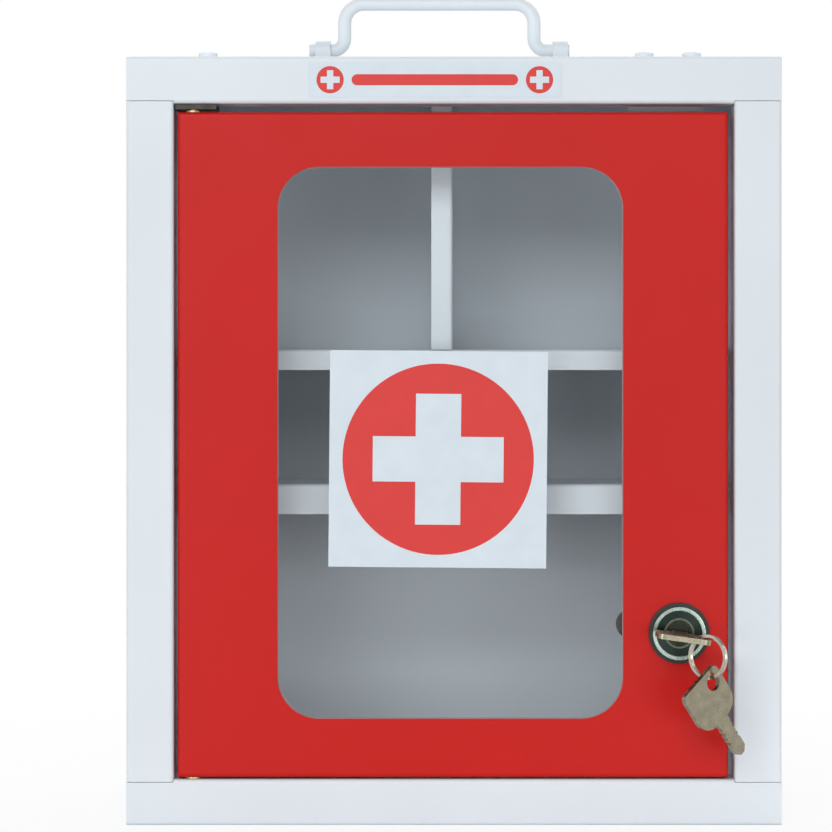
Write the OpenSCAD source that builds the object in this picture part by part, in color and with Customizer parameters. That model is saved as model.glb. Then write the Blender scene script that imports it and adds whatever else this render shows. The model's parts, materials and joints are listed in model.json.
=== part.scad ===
// Lockable steel medicine cabinet with a glazed door, a cam lock with two keys and a carrying handle.
// X runs to the right seen from the front, Y to the back and Z up. The origin is at the middle of the base.

/* [Cabinet] */
// Outside width of the cabinet
case_w = 260; // [240:5:340]
// Outside height of the cabinet
case_h = 305; // [295:5:420]
// Outside depth of the cabinet
case_d = 115; // [100:5:180]
// Thickness of the folded sheet steel
sheet_t = 1; // [0.8:0.1:1.2]
// Outside radius of every bend in the sheet
bend_r = 1.6; // [1.3:0.1:2]
// Width of the front frame's stiles and top rail
frame_w = 18.8; // [16:0.2:22]
// Height of the front frame's bottom rail
base_rail_h = 18.2; // [16:0.2:22]
// Depth of the frame's inner return, behind which the cam catches
return_d = 15.5; // [14.5:0.5:18]
// Width of the weld flanges along the back edges
rear_flange_w = 10; // [6:1:14]
// Seam left between the rails and the stiles of the front frame
seam = 0.25; // [0.1:0.05:0.4]
// Length by which the stiles run past the corners of the opening
seam_step = 1.2; // [0.8:0.1:1.4]

/* [Shelves] */
// Height of the upper shelf's top face
upper_shelf_z = 188.7; // [178:0.5:200]
// Height of the lower shelf's top face
lower_shelf_z = 134.5; // [110:0.5:150]
// Height of the upper shelf's lips
upper_shelf_lip = 8.2; // [6:0.2:12]
// Height of the lower shelf's lips
lower_shelf_lip = 12; // [6:0.2:14]
// Distance of the shelves behind the front of the cabinet
shelf_setback = 26; // [24:1:40]
// Width of the divider's front flange
divider_lip = 8.6; // [6:0.2:12]
// Sideways place of the divider's right face
divider_x = -0.5; // [-20:0.5:20]

/* [Door] */
// Gap at the door's hinge side
gap_left = 1.5; // [1.2:0.1:2.5]
// Gap at the door's lock side
gap_right = 2.4; // [1.5:0.1:3]
// Gap above the door
gap_top = 3.3; // [3.2:0.1:4]
// Gap below the door
gap_bottom = 0.8; // [0.6:0.1:1.5]
// Depth of the door's face behind the front of the frame
door_recess = 0.5; // [0:0.1:1]
// Depth of the door panel over its folded edges
door_d = 12; // [10:0.5:13]
// Width of the door's inner lips
door_lip = 8; // [6:0.5:9]

/* [Window] */
// Door margin left of the window
margin_left = 39.7; // [34:0.5:50]
// Door margin right of the window
margin_right = 41.7; // [41:0.5:50]
// Door margin above the window
margin_top = 21.7; // [20:0.5:40]
// Door margin below the window
margin_bottom = 23.2; // [20:0.2:40]
// Radius of the window's corners
window_r = 16.5; // [8:0.5:30]
// Thickness of the glass
glass_t = 3; // [2:0.5:3]
// Overlap of the glass behind the door's face
glass_lap = 7; // [5:0.5:8]
// Thickness of the gasket between the door and the glass
gasket_t = 1; // [0.6:0.1:1.5]
// Width of gasket that shows inside the window
gasket_show = 0.3; // [0:0.1:0.8]
// Radius of the studs that hold the glass clips
stud_r = 1.5; // [1.25:0.25:1.75]
// Width of a glass clip
clip_w = 10; // [8:1:14]
// Length of a glass clip's foot
clip_foot = 8; // [8:0.5:9]
// Length of a glass clip's tab over the glass
clip_tab = 5; // [3:0.5:6]

/* [Labels] */
// Width of the sticker on the glass
sticker_w = 86.5; // [60:0.5:100]
// Height of the sticker on the glass
sticker_h = 86; // [60:0.5:100]
// Height of the sticker's middle
sticker_z = 145.1; // [120:0.5:170]
// Sideways place of the sticker's middle
sticker_x = -6.3; // [-15:0.1:15]
// Tilt of the sticker, clockwise from the front
sticker_tilt = 0.5; // [-2:0.1:2]
// Width of the label on the top rail
label_w = 100.7; // [60:0.5:160]
// Height of the label on the top rail
label_h = 14.2; // [8:0.2:14.4]
// Sideways place of the label's middle
label_x = -7.6; // [-40:0.5:40]
// Thickness of the sticker and the label
label_t = 0.25; // [0.15:0.05:0.4]

/* [Hinges] */
// Distance of the pivot from the door's hinge side edge
pivot_in = 6; // [5:0.5:8]
// Depth of the pivot behind the door's face
pivot_back = 3.5; // [3.5:0.1:3.8]
// Radius of the hinge pins
pin_r = 1.5; // [1.25:0.05:1.6]
// Running clearance of the pins in their bushes
pin_clearance = 0.05; // [0.02:0.01:0.1]
// Outside radius of the bushes
bush_r = 2.35; // [2.2:0.05:2.45]
// Length of the bushes inside the door
bush_l = 5; // [3:0.5:8]
// Thickness of the bushes' flanges
bush_flange_t = 0.6; // [0.4:0.1:0.6]
// Width of the hinge plates
hinge_w = 16.3; // [14:0.1:18]
// Thickness of the hinge plates
hinge_t = 2; // [1.5:0.1:2]
// Radius of the rivet heads
rivet_head_r = 3.75; // [3:0.05:4.5]
// Height of the rivet heads
rivet_head_h = 2.4; // [1.5:0.1:3]
// Radius of the rivet shanks
rivet_r = 2; // [1.5:0.1:2.4]
// Distance of the front row of rivets behind the front of the cabinet
rivet_back = 7.5; // [6.5:0.5:9]

/* [Magnetic catch] */
// Distance of the catch's middle from the door's lock side edge
catch_in = 23.5; // [23:0.5:60]
// Distance between the catch's rivets
catch_pitch = 18.9; // [16:0.1:22]
// Width of the catch
catch_w = 30; // [28:1:36]
// Height of the catch's magnet housing
catch_h = 12; // [10:1:14]
// Depth of the catch's magnet housing
catch_d = 10; // [8:1:12]
// Free gap between the closed door and the magnet
catch_gap = 0.3; // [0.2:0.1:0.6]

/* [Lock] */
// Distance of the lock's axis from the door's lock side edge
lock_in = 19.6; // [19:0.2:20.5]
// Height of the lock's axis above the base
lock_z = 76.3; // [50:0.5:110]
// Radius of the black ring under the lock's rim
escutcheon_r = 12.1; // [11:0.1:13]
// Thickness of the black ring
escutcheon_t = 1.2; // [0.6:0.1:2]
// Radius of the lock's bright rim
rim_r = 10.5; // [10:0.1:11]
// Height of the bright rim above the black ring
rim_h = 2.2; // [1.6:0.1:3]
// Width of the bright rim round the recess
rim_wall = 1.4; // [1:0.1:2]
// Radius of the lock's barrel
barrel_r = 9.4; // [8.5:0.1:9.5]
// Radius of the turning plug
plug_r = 6; // [5.5:0.1:6.5]
// Running clearance of the plug in the barrel
plug_clearance = 0.05; // [0.03:0.01:0.1]
// Length of the cam from the lock's axis to its tip
cam_l = 24.5; // [24:0.5:26]
// Width of the cam
cam_w = 12; // [10:0.5:14]
// Thickness of the cam
cam_t = 2; // [1.5:0.1:2.5]
// Free gap between the cam and the frame's return
cam_gap = 0.8; // [0.5:0.1:1.2]
// Angle of the plug, clockwise from the front
plug_turn = 8; // [0:1:20]

/* [Keys] */
// Width of a key's bow
bow_w = 21; // [20:0.5:24]
// Length of a key's bow
bow_l = 20; // [18:0.5:24]
// Thickness of a key
key_t = 2; // [1.5:0.1:2.2]
// Radius of the corners at the end of a key's bow
bow_corner_r = 2.5; // [1:0.5:4]
// Radius of the hole in a key's bow
bow_hole_r = 3.3; // [3:0.1:3.4]
// Width of the rim round the hole
bow_rim = 2; // [1.6:0.1:2.4]
// Width of a key's blade
blade_w = 6; // [5:0.5:6.5]
// Length of a key's blade
blade_l = 17.5; // [12:0.5:18]
// Distance of the inserted key's end in front of the door
key_out = 29; // [27:0.5:32]
// Play of the key in the keyway
key_play = 0.2; // [0.1:0.05:0.3]
// Mean radius of the key ring
ring_r = 8.1; // [7.6:0.1:11]
// Radius of the key ring's wire
ring_wire_r = 0.75; // [0.6:0.05:0.8]
// Turn of the key ring away from the door's face
ring_turn = 39; // [30:1:50]
// Turn of the spare key towards the door's face
spare_turn = 38; // [34:1:44]
// Place of the spare key on the ring, as an angle from the lowest point
spare_at = 10; // [0:1:12]
// Lean of the spare key's blade from the vertical
spare_lean = 38; // [30:1:42]
// Gap left where the ring hangs in the keys
hang_gap = 0.3; // [0.2:0.05:0.4]

/* [Handle] */
// Distance between the handle's legs
leg_pitch = 78.6; // [70:0.2:110]
// Sideways place of the handle's middle
handle_x = -5; // [-12:0.5:12]
// Sideways play that the handle has slid in its eyes, to the left if negative
handle_slide = -1; // [-1.4:0.1:1.4]
// Radius of the handle's rod
rod_r = 2.7; // [2:0.1:3]
// Height of the handle's pivot above the top
pivot_h = 8; // [7.5:0.5:12]
// Height of the grip above the pivot
grip_h = 19.3; // [18:0.1:40]
// Radius of the bends beside the grip
grip_bend_r = 8; // [5:0.5:10]
// Radius of the bends at the handle's feet
foot_bend_r = 5; // [4:0.5:6]
// Width of the handle's eyes
eye_w = 6.2; // [5:0.2:8]
// Wall of the handle's eyes
eye_wall = 1.2; // [1:0.1:2.5]
// Running clearance of the rod in the eyes
eye_clearance = 0.1; // [0.05:0.01:0.1]
// Length of a handle bracket's base
bracket_l = 16.6; // [15:0.2:22]
// Width of a handle bracket's base
bracket_w = 13; // [10:0.5:20]
// Thickness of a handle bracket's base
bracket_t = 1.5; // [1:0.1:2.5]

/* [Wall mounting] */
// Distance between the two keyholes
keyhole_pitch = 180; // [100:5:190]
// Height of the keyholes above the base
keyhole_z = 255; // [230:5:265]
// Radius of a keyhole's head
keyhole_r = 5.5; // [4:0.25:6]
// Radius of a keyhole's slot
keyhole_slot_r = 2.25; // [1.75:0.25:2.5]
// Length of a keyhole's slot above its head
keyhole_slot_l = 9; // [7:0.5:12]
// Depth of the recess pressed round each keyhole
recess_h = 2.5; // [2:0.25:3]

/* [Hidden] */
$fn = 48;

// Small lengths shared by many pieces
eps = 0.5;
bend_steps = 6;
fit = 0.25;
front_y = -case_d / 2;
back_y = case_d / 2;
inner_back_y = back_y - sheet_t - bend_r - fit;
recess_up = (keyhole_slot_l + keyhole_slot_r - keyhole_r) / 2;
recess_rim = 1.5;
recess_r = (keyhole_slot_l + keyhole_slot_r + keyhole_r) / 2 + recess_rim;
opening_x = case_w / 2 - frame_w;

// Door edges and faces
door_x0 = -opening_x + gap_left;
door_x1 = opening_x - gap_right;
door_z0 = base_rail_h + gap_bottom;
door_z1 = case_h - frame_w - gap_top;
door_w = door_x1 - door_x0;
door_h = door_z1 - door_z0;
door_x = (door_x0 + door_x1) / 2;
door_z = (door_z0 + door_z1) / 2;
door_y = front_y + door_recess;

// Window, glass and clips
window_w = door_w - margin_left - margin_right;
window_h = door_h - margin_top - margin_bottom;
window_x = door_x0 + margin_left + window_w / 2;
window_z = door_z0 + margin_bottom + window_h / 2;
glass_w = window_w + 2 * glass_lap;
glass_h = window_h + 2 * glass_lap;
glass_y = door_y + sheet_t + gasket_t;
clip_t = 0.8;
clip_rise = gasket_t + glass_t;
stud_at = clip_t + fit + clip_foot / 2;
nut_af = 5.5;
nut_t = 2.4;
stud_play = 0.1;
stud_end = 0.8;

// Hinges
pivot_x = door_x0 + pivot_in;
pivot_y = door_y + pivot_back;
bush_flange_r = 3.2;
hinge_shift = 1.25;
hinge_rivet_at = 4.35;
hinge_x = pivot_x + hinge_shift;
hinge_leg_z = case_h - frame_w - fit - hinge_t;
hinge_web_y = front_y + return_d + fit + hinge_t;
hinge_rivet_x = hinge_x + hinge_rivet_at;
lower_plate_z = base_rail_h - sheet_t - hinge_t;

// Rivets: the share of a head's height below its dome, and the upset tail
rim_part = 0.7;
tail_h = 1.2;
tail_r = 3;

// Magnetic catch
catch_x = door_x1 - catch_in;
catch_y = door_y + door_d + catch_gap;
catch_z1 = door_z1 - sheet_t;
catch_wall = 2;
magnet_w = 14;
magnet_d = catch_d - catch_wall;
magnet_h = catch_h - 2 * catch_wall;
magnet_z = catch_z1 - catch_h + catch_wall;
pole_t = 1.2;
pole_out = catch_gap / 2;

// Lock and keys
lock_x = door_x1 - lock_in;
rim_y = -escutcheon_t - rim_h;
recess_d = 2;
plug_out = 0.6;
cam_y = return_d - door_recess + cam_gap;
plug_step = 11;
plug_rear_r = 4.5;
tail_w = 6;
lock_nut_af = 22;
lock_nut_t = 4;
lock_washer_t = 0.8;
cam_boss = 1;
cam_washer_r = 5.5;
cam_screw_r = 2;
cam_head_r = 3.8;
cam_head_h = 2.2;
cross_w = 0.8;
cross_l = 4;
cross_d = 1;
shoulder_r = 7;
notch_at = 3;
notch_step = 2.4;
notch_sizes = [0.9, 1.2];
notch_out = 0.1;
bow_hole_v = bow_w / 2 - bow_hole_r - bow_rim;
bow_hole_u = bow_hole_r + bow_rim;
ring_inner_r = ring_r - ring_wire_r;
bow_hole_rim = (bow_hole_r + bow_rim - bow_corner_r) * sqrt(2) + bow_corner_r - bow_hole_r;
ring_offset = bow_hole_r + bow_hole_rim / 2 + hang_gap;
ring_side = sin(plug_turn) * (bow_hole_v + ring_offset * cos(ring_turn));
hang_half = bow_hole_rim / 2 + 3 * hang_gap;
hang_drop = sqrt(ring_inner_r * ring_inner_r - hang_half * hang_half);
hang_z = lock_z - ring_side + key_t / 2 / cos(plug_turn) + hang_gap;
ring_pos = [
    lock_x + bow_hole_v * cos(plug_turn) + ring_offset * cos(ring_turn),
    door_y - key_out + bow_hole_u - ring_offset * sin(ring_turn),
    hang_z - hang_drop
];
ring_side_dir = [cos(ring_turn), -sin(ring_turn), 0];
spare_dir = sin(spare_at) * ring_side_dir - [0, 0, cos(spare_at)];
spare_hook = ring_pos + ring_r * spare_dir;
spare_gap = 1.5 * hang_gap + key_t * tan(spare_at);
spare_pos = spare_hook + (bow_hole_r - ring_wire_r - spare_gap) * spare_dir;

// Handle
pivot_z = case_h + pivot_h;
leg_x = leg_pitch / 2;
eye_at = 1.8;
rod_end = 1.6;
eye_x = leg_x + foot_bend_r + eye_at + eye_w / 2;
eye_bore_r = rod_r + eye_clearance;
eye_r = eye_bore_r + eye_wall;
bracket_x0 = eye_x - eye_w / 2;
bracket_rivet_x = bracket_x0 + eye_w + (bracket_l - eye_w) / 2;
bracket_rivet_size = 0.75;
bracket_rivet_r = rivet_r * bracket_rivet_size;
bracket_head_r = rivet_head_r * bracket_rivet_size;
bracket_head_h = rivet_head_h * bracket_rivet_size;

function unit(v) = v / norm(v);
function right_of(v) = [v[1], -v[0]];
function reverse(list) = [for (i = [len(list) - 1:-1:0]) list[i]];

// Points of an arc round a centre
function arc(centre, r, from, to) =
    [for (i = [0:bend_steps])
        let (a = from + (to - from) * i / bend_steps)
        centre + r * [cos(a), sin(a)]];

// Arc of one bend at p, on the way from a to b, with the bend to the right
function bend(a, p, b, outer, r) =
    let (
        u = unit(p - a),
        turn = acos(u * unit(b - p)),
        centre = p - u * outer * tan(turn / 2) + right_of(u) * outer,
        from = atan2(-right_of(u)[1], -right_of(u)[0])
    )
    arc(centre, r, from, from - turn);

// One side of a folded sheet, at a depth below its outer face
function fold_side(path, outer, depth) =
    let (n = len(path) - 1)
    concat(
        [path[0] + right_of(unit(path[1] - path[0])) * depth],
        [for (i = [1:n - 1]) each bend(path[i - 1], path[i], path[i + 1], outer, outer - depth)],
        [path[n] + right_of(unit(path[n] - path[n - 1])) * depth]
    );

// Section of a sheet folded along its outer face, which bends to the right
module folded(path, t = sheet_t, r = bend_r) {
    polygon(concat(fold_side(path, r, 0), reverse(fold_side(path, r, t))));
}

// A section drawn in Y and Z, extruded along X about the middle
module along_x(length) {
    rotate([90, 0, 90]) linear_extrude(length, center = true) children();
}

// A section drawn in X and Z, extruded to the back from the plane y = 0
module along_y(length) {
    translate([0, length, 0]) rotate([90, 0, 0]) linear_extrude(length) children();
}

module box_between(a, b) {
    translate(a) cube(b - a);
}

module cylinder_y(r, length) {
    rotate([-90, 0, 0]) cylinder(r = r, h = length);
}

module cylinder_x(r, length) {
    rotate([0, 90, 0]) cylinder(r = r, h = length, center = true);
}

module rounded_rect(w, h, r) {
    square([w - 2 * r, h], center = true);
    square([w, h - 2 * r], center = true);
    for (x = [-1, 1], z = [-1, 1]) {
        translate([x * (w / 2 - r), z * (h / 2 - r)]) circle(r);
    }
}

module hexagon(across, h) {
    cylinder(r = across / 2 / cos(30), h = h, $fn = 6);
}

// Low domed head of a rivet or a screw, standing on z = 0
module dome(r, h) {
    ball_r = (r * r + h * h) / (2 * h);
    intersection() {
        translate([0, 0, h - ball_r]) sphere(ball_r);
        cylinder(r = r, h = h);
    }
}

// Rivet with its pan head above z = 0 and a flat tail below the joined sheets
module rivet(grip, r = rivet_r, head_r = rivet_head_r, head_h = rivet_head_h) {
    cylinder(r = head_r, h = rim_part * head_h);
    translate([0, 0, rim_part * head_h]) dome(head_r, (1 - rim_part) * head_h);
    translate([0, 0, -grip - tail_h / 2]) cylinder(r = r, h = grip + tail_h);
    translate([0, 0, -grip - tail_h]) cylinder(r = r * tail_r / rivet_r, h = tail_h);
}

// Folded rail with the skin of the top, its front flange and its two returns
module rail_panel(rail_h) {
    edge_x = case_w / 2 - sheet_t;
    low_z = case_h - rail_h;
    difference() {
        along_x(case_w) folded([
            [front_y + return_d, low_z],
            [front_y, low_z],
            [front_y, case_h],
            [back_y - sheet_t, case_h],
            [back_y - sheet_t, case_h - rear_flange_w]
        ]);
        for (side = [-1, 1]) {
            x0 = side > 0 ? edge_x : -edge_x - sheet_t - eps;
            box_between(
                [x0, front_y + sheet_t, low_z - eps],
                [x0 + sheet_t + eps, back_y, case_h - sheet_t]
            );
            stile_x0 = side > 0 ? opening_x : -case_w;
            box_between(
                [stile_x0, front_y - eps, low_z - eps],
                [stile_x0 + case_w - opening_x, front_y + sheet_t + seam, low_z + seam_step]
            );
        }
    }
}

module top_panel() {
    color("whitesmoke") difference() {
        rail_panel(frame_w);
        for (p = concat(catch_rivet_places(), [hinge_rivet_place()], bracket_rivet_places())) {
            translate([p[0], p[1], case_h - sheet_t - eps]) cylinder(r = p[2], h = sheet_t + 2 * eps);
        }
    }
}

module bottom_panel() {
    color("whitesmoke") difference() {
        translate([0, 0, case_h]) mirror([0, 0, 1]) rail_panel(base_rail_h);
        translate([pivot_x, pivot_y, lower_plate_z]) cylinder(r = pin_r, h = hinge_t + sheet_t + eps);
    }
}

// Left side skin with its front flange, its return and its weld flange
module side_panel() {
    skin_x = -case_w / 2 + sheet_t;
    flange_y = front_y + sheet_t;
    difference() {
        translate([0, 0, sheet_t]) linear_extrude(case_h - 2 * sheet_t) folded([
            [-opening_x, front_y + return_d],
            [-opening_x, front_y],
            [-case_w / 2, front_y],
            [-case_w / 2, back_y - sheet_t],
            [-case_w / 2 + rear_flange_w, back_y - sheet_t]
        ]);
        for (end = [[-eps, base_rail_h + seam], [case_h - frame_w - seam, case_h + eps]]) {
            top = end[1] > case_h;
            step_z0 = end[0] + (top ? seam_step : 0);
            step_z1 = end[1] - (top ? 0 : seam_step);
            box_between([skin_x, flange_y, end[0]], [0, back_y, end[1]]);
            box_between([-case_w, front_y - eps, step_z0], [0, flange_y, step_z1]);
        }
    }
}

module left_side_panel() {
    color("whitesmoke") side_panel();
}

module right_side_panel() {
    color("whitesmoke") mirror([1, 0, 0]) side_panel();
}

// Puts its children at both keyholes, on the outer face of the back panel
module at_keyholes() {
    for (x = [-1, 1] * keyhole_pitch / 2) translate([x, back_y, keyhole_z]) children();
}

// Solid of a round recess whose wall slopes at 45 degrees, from its floor at y out to the back
module recess(y, depth, rim) {
    translate([0, y, recess_up]) rotate([-90, 0, 0])
        cylinder(r1 = recess_r + rim, r2 = recess_r + rim + depth, h = depth);
}

module back_panel() {
    color("white") difference() {
        union() {
            box_between([-case_w / 2, back_y - sheet_t, 0], [case_w / 2, back_y, case_h]);
            at_keyholes() recess(-recess_h - sheet_t, recess_h, sheet_t * tan(22.5));
        }
        at_keyholes() {
            recess(-recess_h, recess_h + eps, 0);
            translate([0, -recess_h - sheet_t - eps, 0]) {
                cylinder_y(keyhole_r, sheet_t + 2 * eps);
                translate([-keyhole_slot_r, 0, 0])
                    cube([2 * keyhole_slot_r, sheet_t + 2 * eps, keyhole_slot_l]);
                translate([0, 0, keyhole_slot_l]) cylinder_y(keyhole_slot_r, sheet_t + 2 * eps);
            }
        }
    }
}

// Shelf with its front, rear and side lips turned down
module shelf(z, lip) {
    y0 = front_y + shelf_setback;
    half = case_w / 2 - sheet_t;
    along_x(2 * half) folded([
        [y0, z - lip],
        [y0, z],
        [inner_back_y, z],
        [inner_back_y, z - lip]
    ]);
    for (x = [-half, half - sheet_t]) {
        box_between([x, y0 + bend_r, z - lip], [x + sheet_t, inner_back_y - bend_r, z - sheet_t / 2]);
    }
}

module upper_shelf() {
    color("gainsboro") shelf(upper_shelf_z, upper_shelf_lip);
}

module lower_shelf() {
    color("gainsboro") shelf(lower_shelf_z, lower_shelf_lip);
}

module divider() {
    y0 = front_y + shelf_setback;
    x0 = divider_x - divider_lip;
    color("white") translate([0, 0, upper_shelf_z])
        linear_extrude(case_h - sheet_t - upper_shelf_z)
        folded([[x0, inner_back_y], [divider_x, inner_back_y], [divider_x, y0], [x0, y0]]);
}

module top_label() {
    color("white")
        translate([label_x - label_w / 2, front_y - label_t, case_h - (frame_w + label_h) / 2])
        cube([label_w, label_t, label_h]);
}

// Places and hole radii of the rivets in the top
function catch_rivet_places() = [
    for (s = [-1, 1]) [catch_x + s * catch_pitch / 2, front_y + rivet_back, rivet_r]
];
function hinge_rivet_place() = [hinge_rivet_x, front_y + rivet_back, rivet_r];
function bracket_rivet_places() = [for (s = [-1, 1]) [handle_x + s * bracket_rivet_x, 0, bracket_rivet_r]];

// C-shaped bracket under the top, with its lower leg in the gap above the door
module upper_hinge_bracket() {
    leg_y0 = door_y + fit;
    color("dimgray") difference() {
        translate([hinge_x, 0, 0]) along_x(hinge_w) folded(
            [
                [front_y + sheet_t + bend_r, case_h - sheet_t],
                [hinge_web_y, case_h - sheet_t],
                [hinge_web_y, hinge_leg_z],
                [leg_y0, hinge_leg_z]
            ],
            hinge_t, hinge_t + fit
        );
        translate([pivot_x, pivot_y, hinge_leg_z - eps]) cylinder(r = pin_r, h = hinge_t + 2 * eps);
        translate([hinge_rivet_x, front_y + rivet_back, case_h - sheet_t - hinge_t - eps])
            cylinder(r = rivet_r, h = hinge_t + 2 * eps);
    }
}

module lower_hinge_plate() {
    color("dimgray") difference() {
        box_between(
            [hinge_x - hinge_w / 2, front_y + bend_r, lower_plate_z],
            [hinge_x + hinge_w / 2, front_y + return_d, lower_plate_z + hinge_t]
        );
        translate([pivot_x, pivot_y, lower_plate_z - eps]) cylinder(r = pin_r, h = hinge_t + 2 * eps);
    }
}

// Upper pin hangs from the bracket and the lower pin stands in the plate
module hinge_pins() {
    upper_z0 = door_z1 - bush_l;
    color("silver") translate([pivot_x, pivot_y, 0]) {
        translate([0, 0, upper_z0]) cylinder(r = pin_r, h = hinge_leg_z + hinge_t - upper_z0);
        translate([0, 0, lower_plate_z]) cylinder(r = pin_r, h = door_z0 + bush_l - lower_plate_z);
    }
}

module hinge_rivet() {
    color("white") translate([hinge_rivet_x, front_y + rivet_back, case_h]) rivet(sheet_t + hinge_t);
}

module catch_bracket() {
    leg_y = catch_y + catch_d + sheet_t;
    color("lightgray") difference() {
        translate([catch_x, 0, 0]) along_x(catch_w) folded([
            [front_y + sheet_t + bend_r, case_h - sheet_t],
            [leg_y, case_h - sheet_t],
            [leg_y, catch_z1 - catch_h]
        ]);
        for (p = catch_rivet_places()) {
            translate([p[0], p[1], case_h - 2 * sheet_t - eps]) cylinder(r = p[2], h = sheet_t + 2 * eps);
        }
    }
}

// Block of the catch without the magnet and the poles that sit in it
module catch_housing() {
    slot_w = magnet_w + 2 * pole_t;
    color("ivory") difference() {
        box_between(
            [catch_x - catch_w / 2, catch_y, catch_z1 - catch_h],
            [catch_x + catch_w / 2, catch_y + catch_d, catch_z1]
        );
        translate([catch_x - slot_w / 2, catch_y - eps, magnet_z])
            cube([slot_w, magnet_d + eps, magnet_h]);
    }
}

module catch_magnet() {
    color("darkslategray") translate([catch_x - magnet_w / 2, catch_y, magnet_z])
        cube([magnet_w, magnet_d, magnet_h]);
}

module catch_poles() {
    color("silver") for (x = [-magnet_w / 2 - pole_t, magnet_w / 2]) {
        translate([catch_x + x, catch_y - pole_out, magnet_z])
            cube([pole_t, magnet_d + pole_out, magnet_h]);
    }
}

module catch_rivets() {
    color("white") for (p = catch_rivet_places()) {
        translate([p[0], p[1], case_h]) rivet(2 * sheet_t);
    }
}

// Base plate and eye for the right end of the handle
module handle_bracket() {
    difference() {
        union() {
            box_between(
                [bracket_x0, -bracket_w / 2, 0],
                [bracket_x0 + bracket_l, bracket_w / 2, bracket_t]
            );
            box_between([bracket_x0, -eye_r, 0], [bracket_x0 + eye_w, eye_r, pivot_h]);
            translate([eye_x, 0, pivot_h]) cylinder_x(eye_r, eye_w);
        }
        translate([eye_x, 0, pivot_h]) cylinder_x(eye_bore_r, eye_w + 2 * eps);
        translate([bracket_rivet_x, 0, -eps]) cylinder(r = bracket_rivet_r, h = bracket_t + 2 * eps);
    }
}

module right_handle_bracket() {
    color("white") translate([handle_x, 0, case_h]) handle_bracket();
}

module left_handle_bracket() {
    color("white") translate([handle_x, 0, case_h]) mirror([1, 0, 0]) handle_bracket();
}

module bracket_rivets() {
    color("white") for (p = bracket_rivet_places()) {
        translate([p[0], p[1], case_h + bracket_t])
            rivet(bracket_t + sheet_t, bracket_rivet_r, bracket_head_r, bracket_head_h);
    }
}

// Quarter bend of the rod round the origin, from -X to +Z
module rod_bend(r) {
    rotate([90, 0, 0]) rotate_extrude(angle = 90) translate([r, 0]) circle(rod_r);
}

// Right half of the bail, about the pivot
module half_bail() {
    end_x = eye_x + eye_w / 2 + rod_end;
    foot_x = leg_x + foot_bend_r;
    grip_x = leg_x - grip_bend_r;
    translate([(foot_x + end_x) / 2, 0, 0]) cylinder_x(rod_r, end_x - foot_x);
    translate([foot_x, 0, foot_bend_r]) rotate([0, 180, 0]) rod_bend(foot_bend_r);
    translate([leg_x, 0, foot_bend_r]) cylinder(r = rod_r, h = grip_h - foot_bend_r - grip_bend_r);
    translate([grip_x, 0, grip_h - grip_bend_r]) rod_bend(grip_bend_r);
    translate([grip_x / 2, 0, grip_h]) cylinder_x(rod_r, grip_x);
}

module handle() {
    color("white") translate([handle_x + handle_slide, 0, pivot_z]) {
        half_bail();
        mirror([1, 0, 0]) half_bail();
    }
}

// Block with its front edges rounded and its front in the plane y = 0
module pan_block(w, h, d, r) {
    intersection() {
        linear_extrude(h, center = true) pan_section(w, d, r);
        rotate([0, -90, 0]) linear_extrude(w, center = true) pan_section(h, d, r);
    }
}

module pan_section(w, d, r) {
    polygon(concat(
        [[w / 2, d], [-w / 2, d]],
        arc([-w / 2 + r, r], r, 180, 270),
        arc([w / 2 - r, r], r, 270, 360)
    ));
}

module door_panel() {
    color("firebrick") difference() {
        translate([door_x, door_y, door_z]) pan_block(door_w, door_h, door_d, bend_r);
        translate([door_x, door_y + sheet_t, door_z])
            pan_block(door_w - 2 * sheet_t, door_h - 2 * sheet_t, door_d - 2 * sheet_t, bend_r - sheet_t);
        box_between(
            [door_x0 + door_lip, door_y + door_d / 2, door_z0 + door_lip],
            [door_x1 - door_lip, door_y + door_d + eps, door_z1 - door_lip]
        );
        translate([window_x, door_y - eps, window_z])
            along_y(sheet_t + 2 * eps) rounded_rect(window_w, window_h, window_r);
        translate([lock_x, door_y - eps, lock_z]) cylinder_y(barrel_r, sheet_t + 2 * eps);
        for (z = [door_z0 - eps, door_z1 - sheet_t - eps]) {
            translate([pivot_x, pivot_y, z]) cylinder(r = bush_r, h = sheet_t + 2 * eps);
        }
    }
}

// Bush with its flange below z = 0 and its barrel above
module bush() {
    difference() {
        union() {
            translate([0, 0, -bush_flange_t]) cylinder(r = bush_flange_r, h = bush_flange_t);
            cylinder(r = bush_r, h = bush_l);
        }
        translate([0, 0, -bush_flange_t - eps])
            cylinder(r = pin_r + pin_clearance, h = bush_flange_t + bush_l + 2 * eps);
    }
}

module hinge_bushes() {
    color("goldenrod") translate([pivot_x, pivot_y, 0]) {
        translate([0, 0, door_z0]) bush();
        translate([0, 0, door_z1]) mirror([0, 0, 1]) bush();
    }
}

module glass_gasket() {
    show = 2 * gasket_show;
    color("lavenderblush") translate([window_x, door_y + sheet_t, window_z]) difference() {
        along_y(gasket_t) square([glass_w, glass_h], center = true);
        translate([0, -eps, 0]) along_y(gasket_t + 2 * eps)
            rounded_rect(window_w - show, window_h - show, window_r - gasket_show);
    }
}

module glass_pane() {
    color("lightblue", 0.4) translate([window_x, glass_y, window_z])
        along_y(glass_t) square([glass_w, glass_h], center = true);
}

// Places round the glass: the foot's direction and the point on the glass edge
function clip_places() = [
    for (s = [-1, 1]) each [
        [0, [s * window_w / 4, glass_h / 2]],
        [180, [s * window_w / 4, -glass_h / 2]],
        [90, [-glass_w / 2, s * window_h / 4]]
    ],
    [-90, [glass_w / 2, window_h / 4]],
    [-90, [glass_w / 2, -window_h / 8]]
];

// Puts a piece at every clip, with the glass edge at the origin and the foot towards +Z
module at_clips() {
    for (p = clip_places()) {
        translate([window_x + p[1][0], door_y + sheet_t, window_z + p[1][1]])
            rotate([0, -p[0], 0]) children();
    }
}

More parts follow.
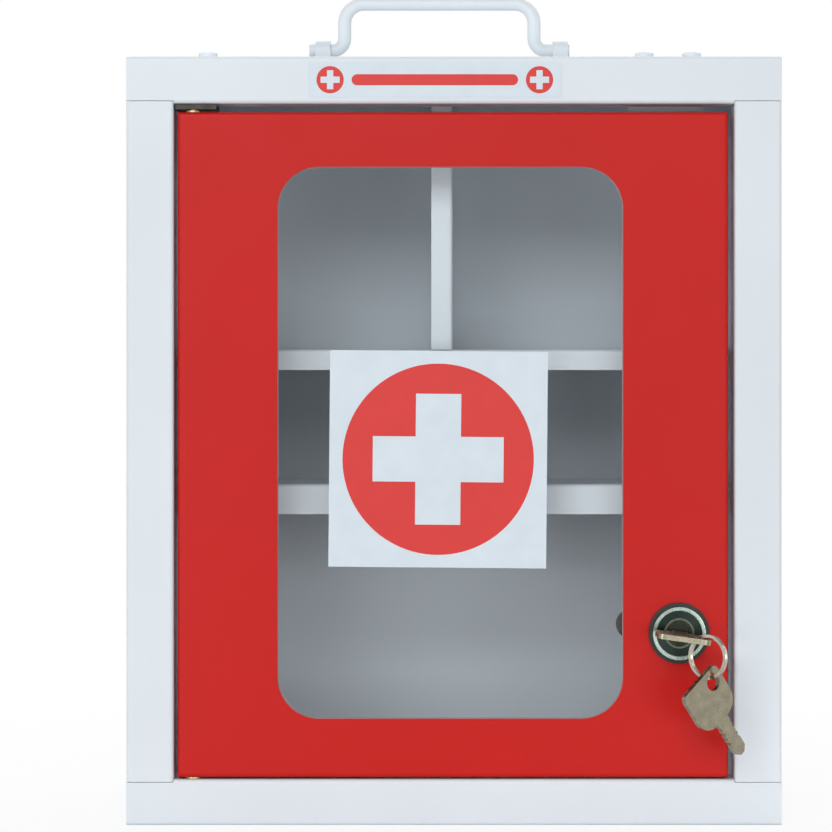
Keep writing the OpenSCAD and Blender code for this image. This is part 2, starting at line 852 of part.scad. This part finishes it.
module glass_clips() {
    rise_z = fit + clip_t;
    color("silver") at_clips() difference() {
        union() {
            box_between([-clip_w / 2, 0, fit], [clip_w / 2, clip_t, fit + clip_t + clip_foot]);
            box_between([-clip_w / 2, 0, fit], [clip_w / 2, clip_rise + clip_t, rise_z]);
            box_between([-clip_w / 2, clip_rise, -clip_tab], [clip_w / 2, clip_rise + clip_t, rise_z]);
        }
        translate([0, -eps, stud_at]) cylinder_y(stud_r + stud_play, clip_t + 2 * eps);
    }
}

module glass_studs() {
    color("silver") at_clips() translate([0, 0, stud_at]) cylinder_y(stud_r, clip_t + nut_t + stud_end);
}

module clip_nuts() {
    color("silver") at_clips() translate([0, clip_t, stud_at]) rotate([-90, 0, 0]) difference() {
        hexagon(nut_af, nut_t);
        translate([0, 0, -eps]) cylinder(r = stud_r, h = nut_t + 2 * eps);
    }
}

module window_sticker() {
    color("white") translate([sticker_x, glass_y - label_t, sticker_z]) rotate([0, sticker_tilt, 0])
        translate([-sticker_w / 2, 0, -sticker_h / 2]) cube([sticker_w, label_t, sticker_h]);
}

// Puts a piece on the lock's axis, with the door's face at y = 0
module at_lock() {
    translate([lock_x, door_y, lock_z]) children();
}

// The same, turned with the plug
module at_plug() {
    at_lock() rotate([0, plug_turn, 0]) children();
}

module lock_escutcheon() {
    color("black") at_lock() difference() {
        translate([0, -escutcheon_t, 0]) cylinder_y(escutcheon_r, escutcheon_t);
        translate([0, -escutcheon_t - eps, 0]) cylinder_y(barrel_r, escutcheon_t + 2 * eps);
    }
}

module lock_body() {
    color("silver") at_lock() difference() {
        union() {
            translate([0, rim_y, 0]) cylinder_y(rim_r, rim_h);
            translate([0, -escutcheon_t, 0]) cylinder_y(barrel_r, escutcheon_t + cam_y - fit);
        }
        translate([0, rim_y - eps, 0]) cylinder_y(rim_r - rim_wall, recess_d + eps);
        translate([0, rim_y, 0]) cylinder_y(plug_r + plug_clearance, plug_step + fit - rim_y);
        translate([0, rim_y, 0]) cylinder_y(plug_rear_r + plug_clearance, cam_y - rim_y + eps);
    }
}

module lock_washer() {
    color("silver") at_lock() translate([0, sheet_t, 0]) difference() {
        cylinder_y(lock_nut_af / 2, lock_washer_t);
        translate([0, -eps, 0]) cylinder_y(barrel_r, lock_washer_t + 2 * eps);
    }
}

module lock_nut() {
    color("silver") at_lock() translate([0, sheet_t + lock_washer_t, 0]) difference() {
        rotate([-90, 0, 0]) rotate([0, 0, 30]) hexagon(lock_nut_af, lock_nut_t);
        translate([0, -eps, 0]) cylinder_y(barrel_r, lock_nut_t + 2 * eps);
    }
}

// Turning plug with its keyway and the square tail that drives the cam
module lock_plug() {
    face_y = rim_y + recess_d - plug_out;
    slot_w = blade_w + 2 * key_play;
    slot_t = key_t + 2 * key_play;
    slot_end = bow_l + blade_l - key_out + key_play;
    screw_floor = 1;
    color("dimgray") at_plug() difference() {
        union() {
            translate([0, face_y, 0]) cylinder_y(plug_r, plug_step - face_y);
            translate([0, plug_step - eps, 0]) cylinder_y(plug_rear_r, cam_y - plug_step + eps);
            translate([-tail_w / 2, cam_y - eps, -tail_w / 2]) cube([tail_w, cam_t + eps, tail_w]);
        }
        box_between([-slot_w / 2, face_y - eps, -slot_t / 2], [slot_w / 2, slot_end, slot_t / 2]);
        translate([0, slot_end + screw_floor, 0]) cylinder_y(cam_screw_r, cam_y + cam_t - slot_end);
    }
}

module lock_cam() {
    reach = cam_l - cam_w / 2;
    color("darkslategray") at_plug() translate([0, cam_y, 0]) difference() {
        along_y(cam_t) {
            circle(cam_w / 2 + cam_boss);
            translate([-reach / 2, 0]) square([reach, cam_w], center = true);
            translate([-reach, 0]) circle(cam_w / 2);
        }
        translate([-tail_w / 2, -eps, -tail_w / 2]) cube([tail_w, cam_t + 2 * eps, tail_w]);
    }
}

module cam_washer() {
    color("silver") at_plug() translate([0, cam_y + cam_t, 0]) difference() {
        cylinder_y(cam_washer_r, lock_washer_t);
        translate([0, -eps, 0]) cylinder_y(cam_screw_r, lock_washer_t + 2 * eps);
    }
}

module cam_screw() {
    seat_y = cam_y + cam_t + lock_washer_t;
    shank_l = 8;
    color("silver") at_plug() translate([0, seat_y, 0]) difference() {
        union() {
            rotate([-90, 0, 0]) dome(cam_head_r, cam_head_h);
            translate([0, -shank_l, 0]) cylinder_y(cam_screw_r, shank_l + eps);
        }
        for (turn = [0, 90]) {
            rotate([0, turn, 0]) translate([-cross_l / 2, cam_head_h - cross_d, -cross_w / 2])
                cube([cross_l, cross_d + eps, cross_w]);
        }
    }
}

// Flat key with its bow's end on y = 0 and its blade towards +Y
module key_shape() {
    tip = blade_w / 3;
    difference() {
        union() {
            for (s = [-1, 1]) {
                translate([s * (bow_w / 2 - bow_corner_r), bow_corner_r]) circle(bow_corner_r);
                translate([s * (bow_w / 2 - shoulder_r), bow_l - shoulder_r]) circle(shoulder_r);
            }
            translate([-bow_w / 2 + bow_corner_r, 0]) square([bow_w - 2 * bow_corner_r, bow_l / 2]);
            translate([-bow_w / 2 + shoulder_r, bow_l / 2]) square([bow_w - 2 * shoulder_r, bow_l / 2]);
            translate([-bow_w / 2, bow_corner_r]) square([bow_w, bow_l - bow_corner_r - shoulder_r]);
            translate([0, bow_l - eps]) polygon([
                [-blade_w / 2, 0],
                [blade_w / 2, 0],
                [blade_w / 2, blade_l + eps - tip],
                [tip / 2, blade_l + eps],
                [-tip / 2, blade_l + eps],
                [-blade_w / 2, blade_l + eps - tip]
            ]);
        }
        translate([bow_hole_v, bow_hole_u]) circle(bow_hole_r);
        for (i = [0:3], s = [-1, 1]) {
            translate([s * (blade_w / 2 + notch_out), bow_l + notch_at + i * notch_step]) rotate(45)
                square(notch_sizes[(i + s + 1) % 2], center = true);
        }
    }
}

module key() {
    color("tan") at_plug() translate([0, -key_out, 0]) linear_extrude(key_t, center = true) key_shape();
}

module key_ring() {
    color("silver") translate(ring_pos) rotate([0, 0, -ring_turn]) rotate([90, 0, 0])
        rotate_extrude() translate([ring_r, 0]) circle(ring_wire_r);
}

module spare_key() {
    color("tan") translate(spare_pos)
        rotate([0, 0, spare_turn]) rotate([0, -spare_lean, 0]) rotate([-90, 0, 0])
        translate([-bow_hole_v, -bow_hole_u, 0]) linear_extrude(key_t, center = true) key_shape();
}

top_panel();
bottom_panel();
left_side_panel();
right_side_panel();
back_panel();
upper_shelf();
lower_shelf();
divider();
top_label();
upper_hinge_bracket();
lower_hinge_plate();
hinge_pins();
hinge_rivet();
catch_bracket();
catch_housing();
catch_magnet();
catch_poles();
catch_rivets();
left_handle_bracket();
right_handle_bracket();
bracket_rivets();
handle();
door_panel();
hinge_bushes();
glass_gasket();
glass_pane();
glass_studs();
glass_clips();
clip_nuts();
window_sticker();
lock_escutcheon();
lock_body();
lock_washer();
lock_nut();
lock_plug();
lock_cam();
cam_washer();
cam_screw();
key();
key_ring();
spare_key();
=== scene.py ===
import json
import math

import bmesh
import bpy
from mathutils import Matrix, Vector


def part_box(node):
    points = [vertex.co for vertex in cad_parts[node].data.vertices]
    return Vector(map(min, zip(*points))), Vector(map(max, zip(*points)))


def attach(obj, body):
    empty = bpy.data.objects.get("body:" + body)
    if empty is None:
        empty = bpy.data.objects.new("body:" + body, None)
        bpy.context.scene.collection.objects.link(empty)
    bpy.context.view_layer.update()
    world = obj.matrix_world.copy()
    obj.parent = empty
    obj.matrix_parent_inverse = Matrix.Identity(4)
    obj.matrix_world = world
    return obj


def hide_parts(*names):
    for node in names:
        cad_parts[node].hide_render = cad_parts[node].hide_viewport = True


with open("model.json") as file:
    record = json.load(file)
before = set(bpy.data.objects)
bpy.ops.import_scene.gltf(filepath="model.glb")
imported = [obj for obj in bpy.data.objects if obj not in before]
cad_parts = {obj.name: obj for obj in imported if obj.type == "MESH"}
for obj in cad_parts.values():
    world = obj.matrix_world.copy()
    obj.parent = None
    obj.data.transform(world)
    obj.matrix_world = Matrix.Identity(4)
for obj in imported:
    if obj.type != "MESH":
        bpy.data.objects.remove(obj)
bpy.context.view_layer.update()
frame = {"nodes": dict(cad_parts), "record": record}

MM = 0.001

# Camera: level, a little right of the middle, and shifted to the photograph's framing
PHOTO_PX = 832
MM_PER_PX = 0.3964
PHOTO_X0_PX = 454
PHOTO_BASE_PX = 825.5
CAMERA_DISTANCE = 1200 * MM
CAMERA_X = -2 * MM
CAMERA_Z = 185 * MM
SENSOR_MM = 36

# Light levels
WORLD_STRENGTH = 0.35
KEY_POWER = 9.6
FILL_POWER = 3
RIM_POWER = 8
SIDE_POWER = 3.4
# Upward slopes of a mirrored ray between which the surroundings whiten
TABLE_FROM = 0.08
TABLE_TO = -0.08

# Colours of the paints and prints, as written in sRGB
WHITE_PAINT = (222, 230, 236)
RED_PAINT = (197, 16, 8)
STICKER_WHITE = (214, 226, 235)
PRINT_RED = (216, 50, 46)

# The values between which most of a noise lies
NOISE_SPAN = (0.3, 0.7)


def linear(rgb):
    """An sRGB colour from 0 to 255 as linear RGBA."""
    def one(c):
        c /= 255
        return c / 12.92 if c <= 0.04045 else ((c + 0.055) / 1.055) ** 2.4
    return tuple(one(c) for c in rgb) + (1,)


def tint(rgb, factor):
    """The same colour, lighter or darker."""
    return tuple(min(255, c * factor) for c in rgb)


# Materials

class Nodes:
    """A material's node tree, with its Principled shader and object coordinates."""

    def __init__(self, name):
        self.material = bpy.data.materials.new(name)
        self.material.use_nodes = True
        self.tree = self.material.node_tree
        self.shader = self.tree.nodes["Principled BSDF"]
        self.output = self.tree.nodes["Material Output"]
        self.coords = self.add("ShaderNodeTexCoord").outputs["Object"]

    def add(self, kind, **settings):
        node = self.tree.nodes.new(kind)
        for key, value in settings.items():
            setattr(node, key, value)
        return node

    def link(self, start, end):
        self.tree.links.new(start, end)

    def set(self, **values):
        """Sets sockets of the shader, named with underscores for spaces."""
        for key, value in values.items():
            self.shader.inputs[key.replace("_", " ")].default_value = value

    def noise(self, scale, detail=3, roughness=0.5, stretch=None):
        """Value of a noise whose features are about 1/scale metres, drawn out along an axis by stretch."""
        node = self.add("ShaderNodeTexNoise")
        node.inputs["Scale"].default_value = scale
        node.inputs["Detail"].default_value = detail
        node.inputs["Roughness"].default_value = roughness
        source = self.coords
        if stretch:
            mapping = self.add("ShaderNodeMapping")
            mapping.inputs["Scale"].default_value = stretch
            self.link(source, mapping.inputs["Vector"])
            source = mapping.outputs["Vector"]
        self.link(source, node.inputs["Vector"])
        return node.outputs["Fac"]

    def ramp(self, value, low, high, start, end):
        """value mapped from low..high to start..end."""
        node = self.add("ShaderNodeMapRange")
        node.inputs["From Min"].default_value = low
        node.inputs["From Max"].default_value = high
        node.inputs["To Min"].default_value = start
        node.inputs["To Max"].default_value = end
        self.link(value, node.inputs["Value"])
        return node.outputs["Result"]

    def radius(self, centre):
        """Distance from an axis that runs along Y through the centre, in metres."""
        mapping = self.add("ShaderNodeMapping")
        mapping.inputs["Location"].default_value = (-centre.x, 0, -centre.z)
        flat = self.add("ShaderNodeVectorMath", operation="MULTIPLY")
        flat.inputs[1].default_value = (1, 0, 1)
        length = self.add("ShaderNodeVectorMath", operation="LENGTH")
        self.link(self.coords, mapping.inputs["Vector"])
        self.link(mapping.outputs["Vector"], flat.inputs[0])
        self.link(flat.outputs["Vector"], length.inputs[0])
        return length.outputs["Value"]

    def mix(self, factor, a, b):
        """Blends colours a and b by factor into the shader's base colour."""
        node = self.add("ShaderNodeMix", data_type="RGBA")
        self.link(factor, node.inputs["Factor"])
        node.inputs["A"].default_value = a
        node.inputs["B"].default_value = b
        self.link(node.outputs["Result"], self.shader.inputs["Base Color"])

    def bumps(self, *layers):
        """Stacks bump layers, each (height, distance in metres, strength)."""
        previous = None
        for height, distance, strength in layers:
            node = self.add("ShaderNodeBump")
            node.inputs["Distance"].default_value = distance
            node.inputs["Strength"].default_value = strength
            self.link(height, node.inputs["Height"])
            if previous:
                self.link(previous, node.inputs["Normal"])
            previous = node.outputs["Normal"]
        self.link(previous, self.shader.inputs["Normal"])


def powder_coat(name, rgb, roughness, sheen=0.5):
    """Sprayed and baked paint: fine orange peel, slightly uneven gloss and a faint change of shade."""
    m = Nodes(name)
    m.set(Coat_Weight=0.06, Coat_Roughness=0.3, IOR=1.42, Specular_IOR_Level=sheen)
    shade = m.ramp(m.noise(9, 2), *NOISE_SPAN, 0, 1)
    m.mix(shade, linear(tint(rgb, 0.985)), linear(tint(rgb, 1.012)))
    gloss = m.ramp(m.noise(60, 4), *NOISE_SPAN, roughness - 0.04, roughness + 0.05)
    m.link(gloss, m.shader.inputs["Roughness"])
    m.bumps((m.noise(700, 2), 0.0003, 0.06), (m.noise(14, 1), 0.004, 0.03))
    return m.material


def worn_metal(name, rgb, roughness, wear=0.12):
    """Plated or bare metal with fine scratches, a mottled shade and uneven gloss."""
    m = Nodes(name)
    m.set(Metallic=1.0)
    mottle = m.ramp(m.noise(260, 5), *NOISE_SPAN, 0, 1)
    m.mix(mottle, linear(tint(rgb, 1 - wear)), linear(tint(rgb, 1 + wear)))
    gloss = m.ramp(m.noise(900, 4), *NOISE_SPAN, roughness * 0.7, roughness * 1.35)
    m.link(gloss, m.shader.inputs["Roughness"])
    scratches = m.noise(1500, 2, stretch=(1, 1, 0.12))
    m.bumps((scratches, 0.0001, 0.12), (m.noise(500, 3), 0.0002, 0.05))
    return m.material


def turned_metal_painted_shade(name, centre, inner_r, painted_shade_rgb, outer_rgb, roughness):
    """Turned metal, darkened inside a radius about the lock's axis as painted shade, and of another colour
    outside it.
    """
    m = Nodes(name)
    m.set(Metallic=1.0)
    from_axis = m.radius(centre)
    # Inside inner_r the metal is darkened with a painted shade standing in for the recess's shadow and
    # dark reflection; outside it the colour is the outer one.
    m.mix(m.ramp(from_axis, inner_r - EDGE, inner_r + EDGE, 0, 1), linear(painted_shade_rgb), linear(outer_rgb))
    gloss = m.ramp(m.noise(1200, 3), *NOISE_SPAN, roughness * 0.6, roughness * 1.4)
    m.link(gloss, m.shader.inputs["Roughness"])
    rings = m.add("ShaderNodeMath", operation="SINE")
    m.link(m.ramp(from_axis, 0, 1, 0, RING_WAVES), rings.inputs[0])
    m.bumps((rings.outputs[0], 0.00003, 0.15), (m.noise(1800, 2), 0.00008, 0.08))
    return m.material


def plastic(name, rgb, roughness):
    """Moulded plastic or rubber with a fine grain."""
    m = Nodes(name)
    m.mix(m.ramp(m.noise(40, 3), *NOISE_SPAN, 0, 1), linear(tint(rgb, 0.96)), linear(tint(rgb, 1.04)))
    gloss = m.ramp(m.noise(200, 3), *NOISE_SPAN, roughness - 0.05, roughness + 0.08)
    m.link(gloss, m.shader.inputs["Roughness"])
    m.bumps((m.noise(900, 2), 0.0002, 0.15))
    return m.material


def printed_vinyl(name, rgb):
    """Printed sticker film: smooth, with faint ink mottle."""
    m = Nodes(name)
    m.mix(m.ramp(m.noise(120, 4), *NOISE_SPAN, 0, 1), linear(tint(rgb, 0.985)), linear(tint(rgb, 1.01)))
    m.set(Roughness=0.42, IOR=1.45)
    m.bumps((m.noise(90, 2), 0.0006, 0.04))
    return m.material


def clear_glass(name):
    """Window glass that lets light through to the shelves, with faint smears in its gloss."""
    m = Nodes(name)
    smears = m.ramp(m.noise(25, 4), 0.35, 0.75, 0.01, 0.05)
    m.link(smears, m.shader.inputs["Roughness"])
    m.set(Base_Color=(0.98, 0.995, 1, 1), IOR=1.5, Transmission_Weight=1.0)
    path = m.add("ShaderNodeLightPath")
    clear = m.add("ShaderNodeBsdfTransparent")
    clear.inputs["Color"].default_value = (0.985, 0.995, 1, 1)
    mixer = m.add("ShaderNodeMixShader")
    unseen = path.outputs["Is Shadow Ray"]
    for kind in ("Is Diffuse Ray", "Is Glossy Ray"):
        either = m.add("ShaderNodeMath", operation="MAXIMUM")
        m.link(unseen, either.inputs[0])
        m.link(path.outputs[kind], either.inputs[1])
        unseen = either.outputs[0]
    m.link(unseen, mixer.inputs["Fac"])
    m.link(m.shader.outputs["BSDF"], mixer.inputs[1])
    m.link(clear.outputs["BSDF"], mixer.inputs[2])
    m.link(mixer.outputs["Shader"], m.output.inputs["Surface"])
    return m.material


EDGE = 0.15 * MM
RING_WAVES = 12000
lock_low, lock_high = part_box("lock_escutcheon")
LOCK_AXIS = (lock_low + lock_high) / 2

MATERIALS = {
    "white_paint": powder_coat("white_powder_coat", WHITE_PAINT, 0.38),
    "red_paint": powder_coat("red_powder_coat", RED_PAINT, 0.42, sheen=0.3),
    "label_vinyl": printed_vinyl("sticker_film", STICKER_WHITE),
    "dark_steel": worn_metal("blackened_steel", (66, 62, 58), 0.45),
    "zinc_steel": worn_metal("zinc_plate", (184, 178, 164), 0.18),
    "brass_bush": worn_metal("brass", (210, 186, 140), 0.3),
    "catch_plastic": plastic("ivory_plastic", (226, 222, 208), 0.45),
    "magnet": plastic("ferrite", (46, 46, 48), 0.6),
    "gasket": plastic("gasket_rubber", (168, 158, 160), 0.6),
    "clear_glass": clear_glass("window_glass"),
    "black_plastic": plastic("black_plastic", (24, 24, 22), 0.4),
    # Chrome bezel in its own colour, with painted shade darkening the recess inside 9.1 mm.
    "chrome": turned_metal_painted_shade("chrome_plate_painted_recess_shade", LOCK_AXIS, 9.1 * MM, (44, 54, 50), (160, 176, 166), 0.2),
    # Plug: its face inside 5.3 mm is darkened with painted shade, and the lighter rim outside it is a
    # painted highlight.
    "plug_metal": turned_metal_painted_shade("plug_casting_painted_shade_highlight", LOCK_AXIS, 5.3 * MM, (52, 54, 48), (100, 106, 94), 0.3),
    "nickel_key": worn_metal("nickel_keys", (152, 146, 126), 0.3, wear=0.06),
}
PRINT = printed_vinyl("red_print", PRINT_RED)

for part in frame["record"]["subparts"]:
    node = frame["nodes"][part["node"]]
    node.data.materials.clear()
    node.data.materials.append(MATERIALS[part["material_slot"]])


# Printed designs

INK_T = 0.04 * MM
STICKER_TILT = -0.5
EMBLEM_R = 38 * MM
EMBLEM_SPAN = 52 * MM
EMBLEM_ARM = 18 * MM
BADGE_R = 5.4 * MM
BADGE_SPAN = 7.6 * MM
BADGE_ARM = 2.5 * MM
BADGE_X = 41.5 * MM
STRIPE_SIZE = (66 * MM, 4.4 * MM)


def circle(radius, centre=(0, 0), steps=96):
    angles = [2 * math.pi * i / steps for i in range(steps)]
    return [(centre[0] + radius * math.cos(a), centre[1] + radius * math.sin(a)) for a in angles]


def plus(span, arm, centre=(0, 0)):
    """Outline of a plus sign, clockwise from its upper arm."""
    s, a = span / 2, arm / 2
    points = [
        (-a, s), (a, s), (a, a), (s, a), (s, -a), (a, -a),
        (a, -s), (-a, -s), (-a, -a), (-s, -a), (-s, a), (-a, a),
    ]
    return [(centre[0] + x, centre[1] + z) for x, z in points]


def bar(width, height, steps=16):
    """Outline of a bar with round ends."""
    r = height / 2
    side = width / 2 - r
    arc = [math.pi * (i / steps - 0.5) for i in range(steps + 1)]
    right = [(side + r * math.cos(a), r * math.sin(a)) for a in arc]
    return right + [(-x, -z) for x, z in right]


def print_on(name, node, loops, turn=0):
    """Ink of the given outlines, holes included, on the front of a CAD sticker; sizes in metres."""
    low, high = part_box(node)
    curve = bpy.data.curves.new(name, "CURVE")
    curve.dimensions = "2D"
    curve.fill_mode = "BOTH"
    curve.extrude = INK_T / 2
    for loop in loops:
        spline = curve.splines.new("POLY")
        spline.points.add(len(loop) - 1)
        for point, (x, z) in zip(spline.points, loop):
            point.co = (x, z, 0, 1)
        spline.use_cyclic_u = True
    shape = bpy.data.objects.new(name + "_curve", curve)
    bpy.context.scene.collection.objects.link(shape)
    bpy.context.view_layer.update()
    mesh = bpy.data.meshes.new_from_object(shape.evaluated_get(bpy.context.evaluated_depsgraph_get()))
    bpy.data.objects.remove(shape)
    mesh.name = name
    mesh.transform(Matrix.Rotation(math.radians(turn), 4, "Z"))
    mesh.transform(Matrix.Rotation(math.radians(90), 4, "X"))
    place = Vector(((low.x + high.x) / 2, low.y - INK_T / 2, (low.z + high.z) / 2))
    mesh.transform(Matrix.Translation(place))
    mesh.materials.clear()
    mesh.materials.append(PRINT)
    piece = bpy.data.objects.new(name, mesh)
    bpy.context.scene.collection.objects.link(piece)
    return piece


outlines = [circle(EMBLEM_R), plus(EMBLEM_SPAN, EMBLEM_ARM)]
emblem = print_on("emblem_print", "window_sticker", outlines, turn=STICKER_TILT)
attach(emblem, "door")

for side, name in ((-1, "left"), (1, "right")):
    centre = (side * BADGE_X, 0)
    outlines = [circle(BADGE_R, centre, 48), plus(BADGE_SPAN, BADGE_ARM, centre)]
    badge = print_on(f"label_badge_{name}", "top_label", outlines)
    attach(badge, "cabinet")
stripe = print_on("label_stripe", "top_label", [bar(*STRIPE_SIZE)])
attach(stripe, "cabinet")


# Split key ring: two turns of flat wire, crossing over once

RING_WIRE_D = 1.5 * MM
RING_TURN = math.radians(39)
RING_STEPS = 96
RING_GAP = 0.07


def split_ring():
    low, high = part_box("key_ring")
    centre = (low + high) / 2
    half_turn = 0.5 * math.pi
    outer = (high.z - low.z) / 2
    wire = RING_WIRE_D
    mean = outer - wire / 2
    across = Vector((math.cos(RING_TURN), -math.sin(RING_TURN), 0))
    normal = across.cross(Vector((0, 0, 1)))
    radial_half, layer_half = wire * 0.48, wire * 0.23
    chamfer = wire * 0.1
    section = [
        (radial_half - chamfer, -layer_half), (radial_half, -layer_half + chamfer),
        (radial_half, layer_half - chamfer), (radial_half - chamfer, layer_half),
        (-radial_half + chamfer, layer_half), (-radial_half, layer_half - chamfer),
        (-radial_half, -layer_half + chamfer), (-radial_half + chamfer, -layer_half),
    ]
    steps = 2 * RING_STEPS
    start, end = RING_GAP, 2 - RING_GAP
    verts, faces = [], []
    for i in range(steps + 1):
        t = start + (end - start) * i / steps
        blend = min(max((t - 1 + RING_GAP) / (2 * RING_GAP), 0), 1)
        shift = wire * 0.25 * (2 * blend * blend * (3 - 2 * blend) - 1)
        angle = 2 * math.pi * t + half_turn
        out = across * math.cos(angle) + Vector((0, 0, 1)) * math.sin(angle)
        for radial, layer in section:
            verts.append(centre + out * (mean + radial) + normal * (shift + layer))
    count = len(section)
    for i in range(steps):
        for j in range(count):
            k = (j + 1) % count
            faces.append((i * count + j, i * count + k, (i + 1) * count + k, (i + 1) * count + j))
    faces.append(tuple(reversed(range(count))))
    faces.append(tuple(steps * count + j for j in range(count)))
    mesh = bpy.data.meshes.new("split_ring")
    mesh.from_pydata(verts, [], faces)
    tidy = bmesh.new()
    tidy.from_mesh(mesh)
    bmesh.ops.recalc_face_normals(tidy, faces=tidy.faces)
    tidy.to_mesh(mesh)
    tidy.free()
    mesh.materials.append(MATERIALS["zinc_steel"])
    piece = bpy.data.objects.new("split_ring", mesh)
    bpy.context.scene.collection.objects.link(piece)
    return piece


ring = split_ring()
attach(ring, "ring")
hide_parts("key_ring")


# Floor, light and camera

FLOOR_FADE = 140 * MM
FLOOR_END = 420 * MM
FLOOR_WHITE = 0.85


def make_floor():
    """White paper that keeps the soft shadow and fades out into the white background."""
    mesh = bpy.data.meshes.new("floor")
    half = FLOOR_END
    corners = [(-half, -half, 0), (half, -half, 0), (half, half, 0), (-half, half, 0)]
    mesh.from_pydata(corners, [], [(0, 1, 2, 3)])
    floor = bpy.data.objects.new("floor", mesh)
    m = Nodes("floor_paper")
    m.set(Roughness=0.9)
    m.mix(m.ramp(m.noise(30, 3), *NOISE_SPAN, 0, 1), (0.93, 0.93, 0.93, 1), (0.95, 0.95, 0.95, 1))
    distance = m.add("ShaderNodeVectorMath", operation="LENGTH")
    m.link(m.coords, distance.inputs[0])
    path = m.add("ShaderNodeLightPath")
    white = m.add("ShaderNodeEmission")
    white.inputs["Color"].default_value = (1, 1, 1, 1)
    pale = m.add("ShaderNodeMixShader")
    m.link(m.ramp(path.outputs["Is Camera Ray"], 0, 1, 0, FLOOR_WHITE), pale.inputs["Fac"])
    m.link(m.shader.outputs["BSDF"], pale.inputs[1])
    m.link(white.outputs["Emission"], pale.inputs[2])
    clear = m.add("ShaderNodeBsdfTransparent")
    mixer = m.add("ShaderNodeMixShader")
    m.link(m.ramp(distance.outputs["Value"], FLOOR_FADE, FLOOR_END, 0, 1), mixer.inputs["Fac"])
    m.link(pale.outputs["Shader"], mixer.inputs[1])
    m.link(clear.outputs["BSDF"], mixer.inputs[2])
    m.link(mixer.outputs["Shader"], m.output.inputs["Surface"])
    mesh.materials.append(m.material)
    bpy.context.scene.collection.objects.link(floor)


def make_world():
    """White where the camera sees it, also through the glass, and softer where it lights the object.

    Glossy surfaces see it whiten downwards, as over a pale table.
    """
    world = bpy.data.worlds.new("studio")
    bpy.context.scene.world = world
    world.use_nodes = True
    tree = world.node_tree
    background = tree.nodes["Background"]
    background.inputs["Color"].default_value = (1, 1, 1, 1)
    path = tree.nodes.new("ShaderNodeLightPath")
    direct = tree.nodes.new("ShaderNodeMath")
    direct.operation = "LESS_THAN"
    direct.inputs[1].default_value = 0.5
    tree.links.new(path.outputs["Diffuse Depth"], direct.inputs[0])
    through = tree.nodes.new("ShaderNodeMath")
    through.operation = "MULTIPLY"
    tree.links.new(path.outputs["Is Transmission Ray"], through.inputs[0])
    tree.links.new(direct.outputs[0], through.inputs[1])
    coords = tree.nodes.new("ShaderNodeTexCoord")
    split = tree.nodes.new("ShaderNodeSeparateXYZ")
    tree.links.new(coords.outputs["Generated"], split.inputs["Vector"])
    table = tree.nodes.new("ShaderNodeMapRange")
    table.inputs["From Min"].default_value = TABLE_FROM
    table.inputs["From Max"].default_value = TABLE_TO
    tree.links.new(split.outputs["Z"], table.inputs["Value"])
    mirrored = tree.nodes.new("ShaderNodeMath")
    mirrored.operation = "MULTIPLY"
    tree.links.new(path.outputs["Is Glossy Ray"], mirrored.inputs[0])
    tree.links.new(table.outputs["Result"], mirrored.inputs[1])
    seen = tree.nodes.new("ShaderNodeMath")
    seen.operation = "MAXIMUM"
    tree.links.new(path.outputs["Is Camera Ray"], seen.inputs[0])
    tree.links.new(through.outputs[0], seen.inputs[1])
    largest = tree.nodes.new("ShaderNodeMath")
    largest.operation = "MAXIMUM"
    tree.links.new(seen.outputs[0], largest.inputs[0])
    tree.links.new(mirrored.outputs[0], largest.inputs[1])
    level = tree.nodes.new("ShaderNodeMapRange")
    level.inputs["To Min"].default_value = WORLD_STRENGTH
    level.inputs["To Max"].default_value = 1
    tree.links.new(largest.outputs[0], level.inputs["Value"])
    tree.links.new(level.outputs["Result"], background.inputs["Strength"])


def area_light(name, place, target, size, power):
    """Soft lamp at a place in metres, facing its target."""
    data = bpy.data.lights.new(name, "AREA")
    data.shape = "RECTANGLE"
    data.size, data.size_y = size
    data.energy = power
    lamp = bpy.data.objects.new(name, data)
    lamp.location = place
    lamp.rotation_euler = (Vector(target) - Vector(place)).to_track_quat("-Z", "Y").to_euler()
    bpy.context.scene.collection.objects.link(lamp)


def make_camera():
    """Level camera whose frame shows the front face at the photograph's scale."""
    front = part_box("top_panel")[0].y
    field = PHOTO_PX * MM_PER_PX * MM
    middle_x = (PHOTO_PX / 2 - PHOTO_X0_PX) * MM_PER_PX * MM
    middle_z = (PHOTO_BASE_PX - PHOTO_PX / 2) * MM_PER_PX * MM
    data = bpy.data.cameras.new("camera")
    data.sensor_width = SENSOR_MM
    data.lens = SENSOR_MM * CAMERA_DISTANCE / field
    data.shift_x = (middle_x - CAMERA_X) / field
    data.shift_y = (middle_z - CAMERA_Z) / field
    data.clip_start = 0.05
    camera = bpy.data.objects.new("camera", data)
    camera.location = (CAMERA_X, front - CAMERA_DISTANCE, CAMERA_Z)
    camera.rotation_euler = (math.radians(90), 0, 0)
    bpy.context.scene.collection.objects.link(camera)
    bpy.context.scene.camera = camera


make_floor()
make_world()
area_light("key", (-0.3, -1.4, 0.8), (0, 0, 0.16), (1.3, 0.6), KEY_POWER)
area_light("rim", (0.1, 0.7, 1.15), (0, 0.05, 0.3), (1.6, 0.9), RIM_POWER)
for side, name in ((-1, "left"), (1, "right")):
    area_light(f"fill_{name}", (side * 0.64, -1.45, 0.06), (0, 0, 0.12), (0.7, 0.3), FILL_POWER)
    area_light(f"side_{name}", (side * 1.3, 0.05, 0.6), (0, 0, 0.2), (0.9, 0.9), SIDE_POWER)
make_camera()
bpy.context.scene.view_settings.view_transform = "Standard"
